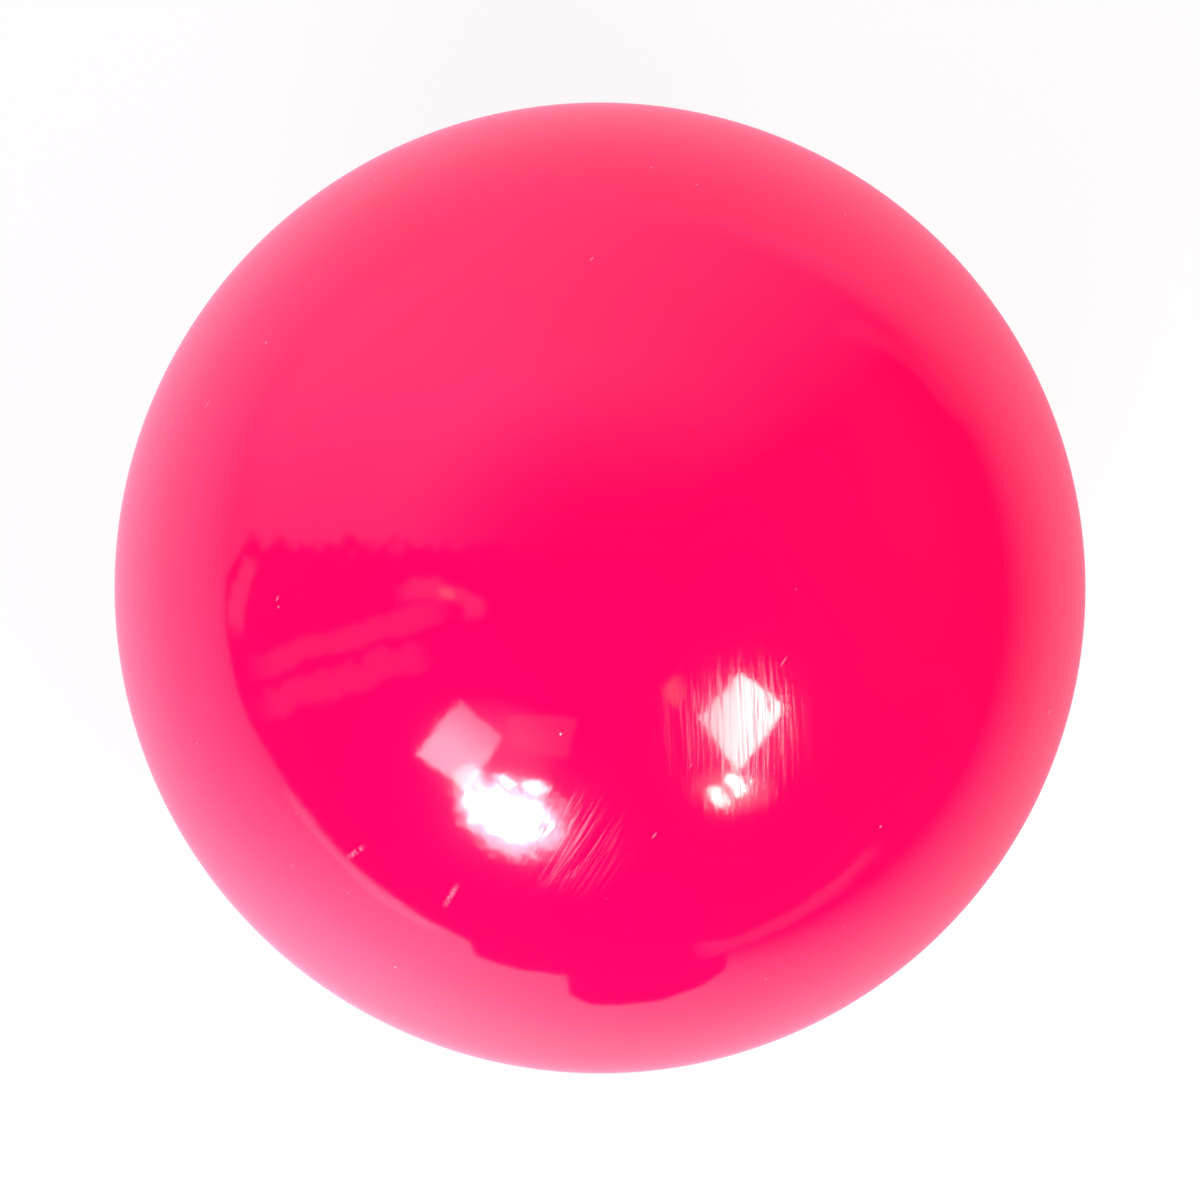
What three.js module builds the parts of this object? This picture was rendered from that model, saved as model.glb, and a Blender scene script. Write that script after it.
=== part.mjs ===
// Street hockey ball in millimetres, +Z up, origin at the centre of the ball.
// A cork centre is wound with twine, closed in a pair of cork cups and wound again. A pair of plastic half
// covers goes over that core. Their edges lock by a tongue and groove at z = 0, under a flush welded bead.

import * as THREE from 'three';

// Ball and its layers, from the outside in
const BALL_DIAMETER = 73;
const COVER_WALL = 5;
const CORK_WALL = 10.5;
const CLEARANCE = 0.3;

// Twine: one strand, the space left between its turns, and the open eye at each end of a winding
const TWINE_DIAMETER = 3.2;
const TWINE_SPACE = 0.6;
const EYE_DIAMETER = 10;

// Edge of the half covers: V groove for the weld, and the tongue behind it
const WELD_WIDTH = 3;
const WELD_DEPTH = 1.8;
const COVER_TONGUE_WIDTH = 1;
const COVER_TONGUE_HEIGHT = 1.6;

// Edge of the cork cups
const CORK_TONGUE_WIDTH = 3.5;
const CORK_TONGUE_HEIGHT = 2.5;

// Facets
const COVER_SEGMENTS = 48;
const CORK_SEGMENTS = 32;
const CENTRE_SEGMENTS = 24;
const COVER_ARC_DIVISIONS = 6;
const CORK_ARC_DIVISIONS = 4;
const WELD_ARC_DIVISIONS = 1;
const TURN_STEPS = 24;
const TWINE_SIDES = 6;

// Each layer takes its radius from the one outside it
const ballRadius = BALL_DIAMETER / 2;
const coverInnerRadius = ballRadius - COVER_WALL;
const outerPathRadius = windingPathRadius(coverInnerRadius);
const corkOuterRadius = seatRadius(outerPathRadius);
const corkInnerRadius = corkOuterRadius - CORK_WALL;
const innerPathRadius = windingPathRadius(corkInnerRadius);
const centreRadius = seatRadius(innerPathRadius);

const plastic = new THREE.MeshStandardMaterial({ color: 0xfa075b, roughness: 0.22, metalness: 0 });
const weldPlastic = new THREE.MeshStandardMaterial({ color: 0xf20556, roughness: 0.26, metalness: 0 });
const cork = new THREE.MeshStandardMaterial({ color: 0xb5834f, roughness: 0.9, metalness: 0 });
const twine = new THREE.MeshStandardMaterial({ color: 0xd9c7a0, roughness: 0.95, metalness: 0 });

// Radius of the strand's centre line, for a winding that fills out to the hollow around it.
function windingPathRadius(hollowRadius) {
  return hollowRadius - CLEARANCE - TWINE_DIAMETER / 2;
}

// Radius of the ball that carries a winding. The strand is straight from step to step, so it dips between them.
function seatRadius(pathRadius) {
  return pathRadius * Math.cos(Math.PI / TURN_STEPS) - TWINE_DIAMETER / 2 - CLEARANCE;
}

// Revolves a profile drawn as x = radius, y = height, with the axis along +Z.
function revolve(profile, arcDivisions, segments) {
  return new THREE.LatheGeometry(profile.getPoints(arcDivisions), segments).rotateX(Math.PI / 2);
}

// Edge outline of a half shell from the inside to the outside, as tongue or groove, at the middle of its wall.
function drawEdge(profile, innerRadius, outerRadius, tongueWidth, tongueHeight, isTongue) {
  const face = CLEARANCE / 2;
  const middle = (innerRadius + outerRadius) / 2;
  const halfWidth = isTongue ? tongueWidth / 2 : tongueWidth / 2 + CLEARANCE;
  const end = isTongue ? -tongueHeight : tongueHeight + CLEARANCE;
  profile.lineTo(middle - halfWidth, face);
  profile.lineTo(middle - halfWidth, end);
  profile.lineTo(middle + halfWidth, end);
  profile.lineTo(middle + halfWidth, face);
}

// Half cover: hollow, stepped edge, V groove face, outer sphere.
function coverHalf(isTongue) {
  const face = CLEARANCE / 2;
  const rootRadius = ballRadius - WELD_DEPTH;
  const profile = new THREE.Path();
  profile.absarc(0, 0, coverInnerRadius, Math.PI / 2, Math.asin(face / coverInnerRadius), true);
  drawEdge(profile, coverInnerRadius, rootRadius, COVER_TONGUE_WIDTH, COVER_TONGUE_HEIGHT, isTongue);
  profile.lineTo(rootRadius, face);
  profile.absarc(0, 0, ballRadius, Math.asin(WELD_WIDTH / 2 / ballRadius), Math.PI / 2, false);
  return revolve(profile, COVER_ARC_DIVISIONS, COVER_SEGMENTS);
}

// Cork half cup: hollow for the wound centre, stepped edge, outer sphere.
function corkCup(isTongue) {
  const face = CLEARANCE / 2;
  const profile = new THREE.Path();
  profile.absarc(0, 0, corkInnerRadius, Math.PI / 2, Math.asin(face / corkInnerRadius), true);
  drawEdge(profile, corkInnerRadius, corkOuterRadius, CORK_TONGUE_WIDTH, CORK_TONGUE_HEIGHT, isTongue);
  profile.absarc(0, 0, corkOuterRadius, Math.asin(face / corkOuterRadius), Math.PI / 2, false);
  return revolve(profile, CORK_ARC_DIVISIONS, CORK_SEGMENTS);
}

// Weld bead: the V groove between the half covers, drawn in by the clearance and flush with the ball.
function weldBead() {
  const face = CLEARANCE / 2;
  const rootRadius = ballRadius - WELD_DEPTH;
  const mouthRadius = Math.sqrt(ballRadius ** 2 - (WELD_WIDTH / 2) ** 2);
  const slope = Math.atan2(WELD_WIDTH / 2 - face, mouthRadius - rootRadius);
  const apex = rootRadius - face / Math.tan(slope) + CLEARANCE / Math.sin(slope);
  const flank = Math.sqrt(ballRadius ** 2 - (apex * Math.sin(slope)) ** 2) - apex * Math.cos(slope);
  const halfAngle = Math.asin((flank * Math.sin(slope)) / ballRadius);
  const profile = new THREE.Path();
  profile.moveTo(apex, 0);
  profile.lineTo(ballRadius * Math.cos(halfAngle), -ballRadius * Math.sin(halfAngle));
  profile.absarc(0, 0, ballRadius, -halfAngle, halfAngle, false);
  profile.lineTo(apex, 0);
  return revolve(profile, WELD_ARC_DIVISIONS, COVER_SEGMENTS);
}

// Centre line of a winding: a strand that runs round the sphere from one eye to the other at a steady pitch.
class WindingPath extends THREE.Curve {
  constructor(radius) {
    super();
    this.radius = radius;
    this.firstAngle = Math.asin(EYE_DIAMETER / 2 / radius);
    this.sweep = Math.PI - 2 * this.firstAngle;
    this.turns = Math.floor((radius * this.sweep) / (TWINE_DIAMETER + TWINE_SPACE));
  }

  getPoint(t, target = new THREE.Vector3()) {
    const fromPole = this.firstAngle + this.sweep * t;
    const round = 2 * Math.PI * this.turns * t;
    const ringRadius = this.radius * Math.sin(fromPole);
    return target.set(
      ringRadius * Math.cos(round),
      ringRadius * Math.sin(round),
      this.radius * Math.cos(fromPole),
    );
  }
}

// Least space between one turn and another, on points half a turn or more apart along the strand.
function leastSpace(points) {
  let least = Infinity;
  for (let i = 0; i < points.length; i += 1) {
    for (let j = i + TURN_STEPS / 2; j < points.length; j += 1) {
      least = Math.min(least, points[i].distanceTo(points[j]));
    }
  }
  return least - TWINE_DIAMETER;
}

// Closed tube of a winding: a ring of corners at every step, joined ring to ring and capped at both ends.
function winding(name, radius) {
  const path = new WindingPath(radius);
  const steps = path.turns * TURN_STEPS;
  const points = path.getPoints(steps);
  const corners = [];
  const triangles = [];
  points.forEach((point, step) => {
    const along = path.getTangent(step / steps);
    const outward = point.clone().normalize();
    const sideways = new THREE.Vector3().crossVectors(outward, along);
    for (let side = 0; side < TWINE_SIDES; side += 1) {
      const angle = (2 * Math.PI * side) / TWINE_SIDES;
      const corner = point.clone();
      corner.addScaledVector(outward, (TWINE_DIAMETER / 2) * Math.cos(angle));
      corner.addScaledVector(sideways, (TWINE_DIAMETER / 2) * Math.sin(angle));
      corners.push(corner);
    }
  });
  for (let step = 0; step < steps; step += 1) {
    for (let side = 0; side < TWINE_SIDES; side += 1) {
      const here = step * TWINE_SIDES + side;
      const beside = step * TWINE_SIDES + ((side + 1) % TWINE_SIDES);
      triangles.push(here, here + TWINE_SIDES, beside);
      triangles.push(beside, here + TWINE_SIDES, beside + TWINE_SIDES);
    }
  }
  const lastRing = steps * TWINE_SIDES;
  for (let side = 1; side < TWINE_SIDES - 1; side += 1) {
    triangles.push(0, side, side + 1);
    triangles.push(lastRing, lastRing + side + 1, lastRing + side);
  }
  console.log(`${name}: ${path.turns} turns, least space ${leastSpace(points).toFixed(2)} mm`);
  return new THREE.BufferGeometry().setFromPoints(corners).setIndex(triangles);
}

function addPiece(parent, name, geometry, material) {
  const piece = new THREE.Mesh(geometry, material);
  piece.name = name;
  parent.add(piece);
  return piece;
}

const ball = new THREE.Group();

// Cork centre, wound about Y
addPiece(ball, 'cork_centre', new THREE.SphereGeometry(centreRadius, CENTRE_SEGMENTS, CENTRE_SEGMENTS / 2), cork);
addPiece(ball, 'inner_winding', winding('inner_winding', innerPathRadius), twine).rotateX(Math.PI / 2);

// Cork cups, which part across X, so the winding about Z ties them together
const cups = new THREE.Group();
cups.rotateY(Math.PI / 2);
addPiece(cups, 'cork_cup_right', corkCup(true), cork);
addPiece(cups, 'cork_cup_left', corkCup(false), cork).rotateX(Math.PI);
ball.add(cups);
addPiece(ball, 'outer_winding', winding('outer_winding', outerPathRadius), twine);

// Half covers, which part across Z, and the bead that closes them
addPiece(ball, 'cover_upper_half', coverHalf(true), plastic);
addPiece(ball, 'cover_lower_half', coverHalf(false), plastic).rotateX(Math.PI);
addPiece(ball, 'seam_weld', weldBead(), weldPlastic);

export default ball;
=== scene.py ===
"""Street hockey ball: buffed pink cover halves, their weld and the wound cork core, on white paper."""

import math

import bpy
import numpy as np
from mathutils import Matrix, Vector, noise


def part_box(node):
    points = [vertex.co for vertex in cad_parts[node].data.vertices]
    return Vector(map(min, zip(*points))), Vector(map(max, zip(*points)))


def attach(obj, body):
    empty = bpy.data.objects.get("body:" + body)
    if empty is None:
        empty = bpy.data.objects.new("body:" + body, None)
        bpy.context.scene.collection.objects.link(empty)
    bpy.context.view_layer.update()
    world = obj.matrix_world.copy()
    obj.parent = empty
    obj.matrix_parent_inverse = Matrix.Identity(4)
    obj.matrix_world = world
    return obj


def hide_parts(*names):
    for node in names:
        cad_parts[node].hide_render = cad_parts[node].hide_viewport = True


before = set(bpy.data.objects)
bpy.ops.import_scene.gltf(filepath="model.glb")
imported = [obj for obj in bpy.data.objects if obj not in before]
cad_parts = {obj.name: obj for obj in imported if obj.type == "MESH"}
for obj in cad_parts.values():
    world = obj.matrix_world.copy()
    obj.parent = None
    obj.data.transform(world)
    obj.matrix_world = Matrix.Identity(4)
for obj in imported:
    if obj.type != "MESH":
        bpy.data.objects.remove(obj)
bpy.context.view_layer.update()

MM = 0.001

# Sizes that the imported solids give
BALL_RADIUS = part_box("seam_weld")[1].x
WELD_HALF_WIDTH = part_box("seam_weld")[1].z
COVER_TONGUE_HEIGHT = -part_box("cover_upper_half")[0].z
OUTER_WINDING_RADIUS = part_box("outer_winding")[1].x
CORK_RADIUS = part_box("cork_cup_right")[1].x
CORK_TONGUE_HEIGHT = -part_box("cork_cup_right")[0].x
INNER_WINDING_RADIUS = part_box("inner_winding")[1].x
CENTRE_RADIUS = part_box("cork_centre")[1].x

# Walls, joints and clearances of the solids, which their boxes don't show
COVER_WALL = 5 * MM
COVER_TONGUE_WIDTH = 1 * MM
CORK_WALL = 10.5 * MM
CORK_TONGUE_WIDTH = 3.5 * MM
WELD_DEPTH = 1.8 * MM
CLEARANCE = 0.3 * MM

# Fine shape of the cover: hairlines beside the weld, rounded edges, and slight waves left by hand buffing
HAIRLINE = 0.03 * MM
EDGE_ROUND = 0.05 * MM
WAVE_HEIGHT = 0.006 * MM
WAVE_LENGTH = 11 * MM

# Rows that the twine has pressed into the cork centre
CORE_ROWS = 30
CORE_DENT = 0.12 * MM

# Twine: thin layers, each turned to cross the one below. The pitch of its turns and the eye that they leave
# at the poles are in twine widths. The weight is added to every turn's share of the steps, so that the tight
# turns at the eyes stay round.
TWINE_LAYERS = 3
TWINE_PITCH = 1.04
TWINE_EYE = 0.7
TWINE_PLIES = 3.0
TWINE_TWIST = 3.6 * MM
TWINE_STEP = 2.6 * MM
EYE_WEIGHT = 0.2

# Facets
COVER_SEGMENTS = 288
COVER_ARC_STEPS = 150
COVER_HOLLOW_STEPS = 48
WELD_ARC_STEPS = 12
CORK_SEGMENTS = 128
CORK_ARC_STEPS = 56
CORK_HOLLOW_STEPS = 40
CORE_ARC_STEPS = 240
TWINE_SIDES = 8
TWINE_LINE_POINTS = 2000
DOME_SEGMENTS = 48
DOME_ARC_STEPS = 12
ON_AXIS = 1e-9

# Relief of the finishes
PEEL_DEPTH = 0.008 * MM
GROOVE_DEPTH = 0.005 * MM
NIB_HEIGHT = 0.02 * MM
CORK_PIT_DEPTH = 0.1 * MM
TWINE_LAY_DEPTH = 0.15 * MM

# Gloss of the plastic, and its dust, scuffs and scratches, in millimetres
COVER_ROUGHNESS = 0.07
WELD_ROUGHNESS = 0.09
DUST_CELL = 4.2
DUST_RADIUS = 0.14
SCUFF_CELL = 2.5
SCUFF_RADIUS = 0.09
SCUFF_TURN = math.radians(35)
SCUFF_SQUEEZE = (1.0, 0.12, 0.6)
SCRATCH_HALF_WIDTH = 0.26

# Size of the cork granules, in millimetres
CUP_GRAIN = 1.4
CORE_GRAIN = 2.4

# Slope of the fine lines at the buffed spots, in degrees from level, as seen from above
RIGHT_LINES_SLOPE = 92
LEFT_LINES_SLOPE = 58

# Photograph, in pixels: its frame, the ball's outline in it, the ball's mirror images of the lamps, its
# buffed spots and scratches, and its mirror image of the paper's edge, from its left side round to its front
PHOTO_WIDTH = 1200
BALL_WIDTH_PX = 971
BALL_CENTRE_PX = (600, 588)
LEFT_LAMP_PX = ((464, 763), (575, 804), (556, 860), (445, 819))
LEFT_SPOT_PX = ((498, 777), (508, 776), (517, 783), (510, 788))
TOP_SPOT_PX = ((522, 780), (539, 780), (551, 789), (541, 794), (526, 792))
LEFT_FRINGE_PX = ((469, 738), (599, 798), (557, 886), (427, 826))
LEFT_HALO_PX = ((471, 739), (602, 800), (563, 883), (432, 822))
LEFT_SHEEN_PX = ((438, 776), (468, 755), (494, 781), (463, 807))
LEFT_HAZE_PX = ((414, 690), (570, 690), (570, 806), (414, 806))
LEFT_PANEL_PX = ((460, 700), (503, 737), (468, 788), (416, 754))
FAINT_PANEL_PX = ((509, 714), (575, 718), (567, 758), (508, 745))
RIGHT_PANEL_PX = ((699, 717), (740, 673), (785, 706), (738, 771))
HIGH_SPOT_PX = ((731, 770), (742, 778), (753, 779), (747, 795), (738, 796), (730, 788), (725, 779))
LOW_SPOT_PX = ((708, 788), (721, 788), (728, 796), (733, 805), (717, 808), (713, 800))
RIGHT_HALO_PX = ((688, 757), (780, 757), (780, 815), (688, 815))
RIGHT_HAZE_PX = ((676, 662), (806, 662), (806, 792), (676, 792))
AMBER_SPOT_PX = ((433, 585), (451, 583), (460, 600), (442, 603))
AMBER_PANEL_PX = ((662, 689), (676, 677), (685, 694), (676, 708))
HIGH_BAND_PX = ((240, 675), (292, 655), (345, 638), (400, 622), (456, 604))
LOW_BAND_PX = ((246, 712), (292, 697), (338, 683), (385, 664), (436, 648))
HOOKED_BAND_PX = ((392, 594), (430, 588), (455, 594), (474, 605), (477, 624))
SIDE_BAND_PX = ((254, 554), (242, 580), (237, 604), (234, 642))
FRONT_BAND_PX = ((690, 952), (745, 941), (800, 914), (850, 877), (884, 842))
LEFT_RIM_PX = ((280, 782), (304, 817), (340, 860), (377, 893), (413, 918), (461, 942))
RIGHT_BAND_PX = ((825, 320), (865, 332), (898, 349), (926, 370), (948, 396), (966, 424))
RIGHT_BUFFED_PX = (738, 738)
LEFT_BUFFED_PX = (572, 846)
SCRATCHES_PX = (((443, 909), (459, 882)), ((345, 860), (367, 844)))
PAPER_EDGE_PX = (
    (226, 575),
    (226, 628),
    (242, 706),
    (266, 749),
    (310, 813),
    (403, 904),
    (471, 942),
    (475, 956),
    (517, 969),
    (566, 975),
    (568, 994),
    (592, 1005),
    (658, 1001),
    (706, 984),
    (724, 972),
    (729, 960),
    (724, 944),
)

CAMERA_HEIGHT = 0.45
SENSOR_WIDTH = 36.0

# Studio: colours of its light, its sizes in metres, and bearings in degrees from +Y towards +X
PURE_WHITE = (1, 1, 1, 1)
WHITE_LIGHT = (1.0, 1.0, 1.1, 1)
COOL_LIGHT = (0.95, 1.0, 1.4, 1)
WARM_LIGHT = (1.05, 1.0, 0.86, 1)
AMBER_LIGHT = (1.2, 1.0, 0.3, 1)
LEFT_PAPER_LIGHT = (1, 1, 1.35, 1)
# Painted pink bounce light from the ball, on the mirrored paper beside it
PAINTED_PINK_BOUNCE = (2.6, 0.62, 0.9, 1)
PAPER_COLOUR = (0.86, 0.86, 0.86, 1)
FLOOR_REACH = 8.0
ROOM_REACH = 5.0
MIRRORED_PAPER_LIFT = 0.5 * MM
MIRRORED_GROUND_DROP = 0.3 * MM
CARD_LIFT = 1 * MM
LAMP_DISTANCE = 1.0
BACKLIGHT_BEARING = 12
RIGHT_BEARING = 90
BACKDROP_LIT_BEARING = -38
BACKDROP_LEFT_EDGE = 8
LEFT_GLARE_BEARING = -152
FRONT_GLARE_BEARING = 160

# Share of a mirrored lamp's power that lights the ball, and the watts per square metre of an area light
# whose radiance is 1
LAMP_SHARE = 0.45
AREA_LIGHT_WATTS = 4


def srgb(red, green, blue):
    """Linear colour, with alpha, of an 8-bit screen colour."""
    parts = [value / 255 for value in (red, green, blue)]
    linear = [p / 12.92 if p <= 0.04045 else ((p + 0.055) / 1.055) ** 2.4 for p in parts]
    return (*linear, 1.0)


COVER_PINK = srgb(255, 1, 83)
COVER_DEEP_PINK = srgb(254, 0, 87)
WELD_PINK = srgb(252, 1, 81)
WELD_DEEP_PINK = srgb(250, 0, 84)
SCUFF_PINK = srgb(255, 150, 175)
# Pale pink of the dust specks: partly dust, partly a painted glint on their nibs
DUST_AND_GLINT_PINK = srgb(255, 175, 195)
CORK_BROWN = srgb(150, 102, 58)
CORK_TAN = srgb(206, 158, 104)
CORK_JOINT_BROWN = srgb(84, 52, 30)
# Painted shade in the grooves between the twine's plies
TWINE_PAINTED_SHADE = srgb(150, 126, 84)
TWINE_STRAW = srgb(226, 208, 168)


# Meshes


def add_mesh(name, vertices, faces, sharp_angle=35):
    """Object of one smooth mesh whose corners sharper than sharp_angle degrees stay sharp."""
    mesh = bpy.data.meshes.new(name)
    mesh.from_pydata([tuple(v) for v in vertices], [], faces)
    mesh.shade_smooth()
    mesh.set_sharp_from_angle(angle=math.radians(sharp_angle))
    made = bpy.data.objects.new(name, mesh)
    bpy.context.scene.collection.objects.link(made)
    return made


def arc(radius, start, end, steps):
    """Points (radius, height) on a circle round the ball's centre, between two angles above the equator."""
    angles = np.linspace(start, end, steps + 1)
    return [(radius * math.cos(a), radius * math.sin(a)) for a in angles]


def rounded(corner, before, after, size, steps=3):
    """Points that cut a profile's corner back by size on both sides and round it."""
    corner, before, after = Vector(corner), Vector(before), Vector(after)
    first = corner + (before - corner).normalized() * size
    last = corner + (after - corner).normalized() * size
    shares = [k / steps for k in range(steps + 1)]
    return [tuple(first * (1 - t) ** 2 + corner * 2 * t * (1 - t) + last * t * t) for t in shares]


def revolved(name, profile, segments, closed=False):
    """Object made by turning a profile of (radius, height) points about Z. The axis gets one vertex."""
    vertices = []
    rings = []
    for radius, height in profile:
        if radius < ON_AXIS:
            rings.append([len(vertices)] * segments)
            vertices.append((0.0, 0.0, height))
            continue
        rings.append(list(range(len(vertices), len(vertices) + segments)))
        for k in range(segments):
            angle = 2 * math.pi * k / segments
            vertices.append((radius * math.cos(angle), radius * math.sin(angle), height))
    pairs = list(zip(rings, rings[1:]))
    if closed:
        pairs.append((rings[-1], rings[0]))
    faces = []
    for lower, upper in pairs:
        for k in range(segments):
            corners = [lower[k], lower[(k + 1) % segments], upper[(k + 1) % segments], upper[k]]
            faces.append(list(dict.fromkeys(corners)))
    return add_mesh(name, vertices, faces)


def edge_profile(inner, outer, width, height, is_tongue):
    """Mating edge of a half shell from its inside to its outside: a tongue, or the groove that takes it."""
    face = CLEARANCE / 2
    middle = (inner + outer) / 2
    half = width / 2 if is_tongue else width / 2 + CLEARANCE
    end = -height if is_tongue else height + CLEARANCE
    return [(middle - half, face), (middle - half, end), (middle + half, end), (middle + half, face)]


def waved(piece):
    """Gives the outside of the ball the slight waves that hand buffing leaves."""
    for vertex in piece.data.vertices:
        if vertex.co.length > BALL_RADIUS - EDGE_ROUND / 4:
            lift = noise.noise(vertex.co / WAVE_LENGTH) * WAVE_HEIGHT
            vertex.co += vertex.co.normalized() * lift
    return piece


def turned(piece, axis, angle):
    """Turns a piece's mesh about an axis through the ball's centre."""
    piece.data.transform(Matrix.Rotation(angle, 4, axis))
    return piece


def cover_half(name, is_tongue):
    """Half cover: hollow, mating edge, face of the weld groove, rounded mouth and the buffed outside."""
    inner = BALL_RADIUS - COVER_WALL
    root = BALL_RADIUS - WELD_DEPTH
    mouth_angle = math.asin((WELD_HALF_WIDTH + HAIRLINE) / BALL_RADIUS)
    outside = arc(BALL_RADIUS, mouth_angle, math.pi / 2, COVER_ARC_STEPS)
    groove_root = (root, CLEARANCE / 2)
    profile = arc(inner, math.pi / 2, math.asin(CLEARANCE / 2 / inner), COVER_HOLLOW_STEPS)
    profile += edge_profile(inner, root, COVER_TONGUE_WIDTH, COVER_TONGUE_HEIGHT, is_tongue)
    profile += [groove_root]
    profile += rounded(outside[0], groove_root, outside[1], EDGE_ROUND)
    profile += outside[1:]
    profile[0] = (0.0, inner)
    profile[-1] = (0.0, BALL_RADIUS)
    half = revolved(name, profile, COVER_SEGMENTS)
    return waved(half if is_tongue else turned(half, "X", math.pi))


def weld_bead():
    """Bead of cover plastic in the groove, ground flush, with rounded edges."""
    half_angle = math.asin(WELD_HALF_WIDTH / BALL_RADIUS)
    apex = (BALL_RADIUS - WELD_DEPTH + CLEARANCE, 0.0)
    outside = arc(BALL_RADIUS, -half_angle, half_angle, WELD_ARC_STEPS)
    profile = [apex]
    profile += rounded(outside[0], apex, outside[1], EDGE_ROUND)
    profile += outside[1:-1]
    profile += rounded(outside[-1], outside[-2], apex, EDGE_ROUND)
    return waved(revolved("weld_bead", profile, COVER_SEGMENTS, closed=True))


def cork_cup(name, is_tongue):
    """Moulded cork half cup with its mating edge, its axis turned to X."""
    inner = CORK_RADIUS - CORK_WALL
    profile = arc(inner, math.pi / 2, math.asin(CLEARANCE / 2 / inner), CORK_HOLLOW_STEPS)
    profile += edge_profile(inner, CORK_RADIUS, CORK_TONGUE_WIDTH, CORK_TONGUE_HEIGHT, is_tongue)
    profile += arc(CORK_RADIUS, math.asin(CLEARANCE / 2 / CORK_RADIUS), math.pi / 2, CORK_ARC_STEPS)
    profile[0] = (0.0, inner)
    profile[-1] = (0.0, CORK_RADIUS)
    cup = revolved(name, profile, CORK_SEGMENTS)
    return turned(cup, "Y", math.pi / 2 if is_tongue else -math.pi / 2)


def cork_core():
    """Cork centre, with the shallow rows that the twine has pressed into it."""
    profile = []
    for angle in np.linspace(-math.pi / 2, math.pi / 2, CORE_ARC_STEPS + 1):
        press = 0.5 + 0.5 * math.cos(2 * CORE_ROWS * angle)
        radius = CENTRE_RADIUS - CORE_DENT * press * math.cos(angle)
        profile.append((radius * math.cos(angle), radius * math.sin(angle)))
    profile[0] = (0.0, -CENTRE_RADIUS)
    profile[-1] = (0.0, CENTRE_RADIUS)
    return turned(revolved("cork_core", profile, CORK_SEGMENTS), "X", math.pi / 2)


def winding_line(radius, twine):
    """Outward directions along one layer of twine, wound from pole to pole on a sphere."""
    first = TWINE_EYE * twine / radius
    sweep = math.pi - 2 * first
    turns = math.floor(radius * sweep / (twine * TWINE_PITCH))
    length = 4 * radius * turns
    steps = round(length / TWINE_STEP)
    from_pole = np.linspace(first, first + sweep, TWINE_LINE_POINTS)
    passed = np.cumsum(np.sin(from_pole) + EYE_WEIGHT)
    fall = np.interp(np.linspace(passed[0], passed[-1], steps + 1), passed, from_pole)
    round_angle = 2 * math.pi * turns * (fall - first) / sweep
    level = np.sin(fall)
    return np.stack([level * np.cos(round_angle), level * np.sin(round_angle), np.cos(fall)], axis=1)


def strand(radius, twine, axis_turn):
    """Vertices, faces and surface coordinates of one layer of twine, its axis turned about X."""
    outward = winding_line(radius, twine)
    steps = len(outward) - 1
    points = radius * outward
    along = np.gradient(points, axis=0)
    along /= np.linalg.norm(along, axis=1, keepdims=True)
    sideways = np.cross(outward, along)
    distance = np.concatenate([[0], np.cumsum(np.linalg.norm(np.diff(points, axis=0), axis=1))])
    angles = 2 * math.pi * np.arange(TWINE_SIDES) / TWINE_SIDES
    rings = points[:, None] + twine / 2 * (
        np.cos(angles)[None, :, None] * outward[:, None] + np.sin(angles)[None, :, None] * sideways[:, None]
    )
    c, s = math.cos(axis_turn), math.sin(axis_turn)
    tilt = np.array([[1, 0, 0], [0, c, -s], [0, s, c]])
    vertices = rings.reshape(-1, 3) @ tilt.T
    faces = []
    coordinates = []
    for step in range(steps):
        here = step * TWINE_SIDES
        there = here + TWINE_SIDES
        low, high = distance[step], distance[step + 1]
        for side in range(TWINE_SIDES):
            beside = (side + 1) % TWINE_SIDES
            faces.append([here + side, there + side, there + beside, here + beside])
            v0, v1 = side / TWINE_SIDES, (side + 1) / TWINE_SIDES
            coordinates += [(low, v0), (high, v0), (high, v1), (low, v1)]
    first_ring = range(TWINE_SIDES)
    last_ring = range(steps * TWINE_SIDES, (steps + 1) * TWINE_SIDES)
    faces += [list(first_ring), list(reversed(last_ring))]
    coordinates += [(0.0, 0.0)] * (2 * TWINE_SIDES)
    return vertices, faces, coordinates


def winding(name, seat_radius, outside_radius):
    """Twine wound in layers between a seat and an outside radius, each turned to cross the one below."""
    twine = (outside_radius - seat_radius) / TWINE_LAYERS
    vertices = []
    faces = []
    coordinates = []
    for layer in range(TWINE_LAYERS):
        radius = seat_radius + twine * (layer + 0.5)
        new_vertices, new_faces, new_coordinates = strand(radius, twine, layer * math.pi / TWINE_LAYERS)
        start = len(vertices)
        vertices += [tuple(v) for v in new_vertices]
        faces += [[start + index for index in face] for face in new_faces]
        coordinates += new_coordinates
    made = add_mesh(name, vertices, faces, sharp_angle=80)
    layout = made.data.uv_layers.new(name="strand")
    layout.data.foreach_set("uv", np.array(coordinates, np.float32).ravel())
    return made


# Shader helpers


def add_node(tree, kind, inputs=None, **settings):
    """Adds a node with its settings, and fills its inputs with values or links."""
    made = tree.nodes.new(kind)
    for name, value in settings.items():
        setattr(made, name, value)
    for key, value in (inputs or {}).items():
        if isinstance(value, bpy.types.NodeSocket):
            tree.links.new(value, made.inputs[key])
        else:
            made.inputs[key].default_value = value
    return made


def calculate(tree, operation, first, second=0.0, third=0.0):
    """Output of a Math node."""
    return add_node(tree, "ShaderNodeMath", {0: first, 1: second, 2: third}, operation=operation).outputs[0]


def vector(tree, operation, first, second=(0, 0, 0), output="Vector", **inputs):
    """Output of a Vector Math node."""
    given = {0: first, 1: second, **inputs}
    return add_node(tree, "ShaderNodeVectorMath", given, operation=operation).outputs[output]


def facing(tree, direction, other):
    """1 where a direction is the other one, falling to -1 where it is opposite."""
    return vector(tree, "DOT_PRODUCT", direction, other, output="Value")


def axes_of(tree, place):
    """X, Y and Z of a vector."""
    return add_node(tree, "ShaderNodeSeparateXYZ", {0: place}).outputs


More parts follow.
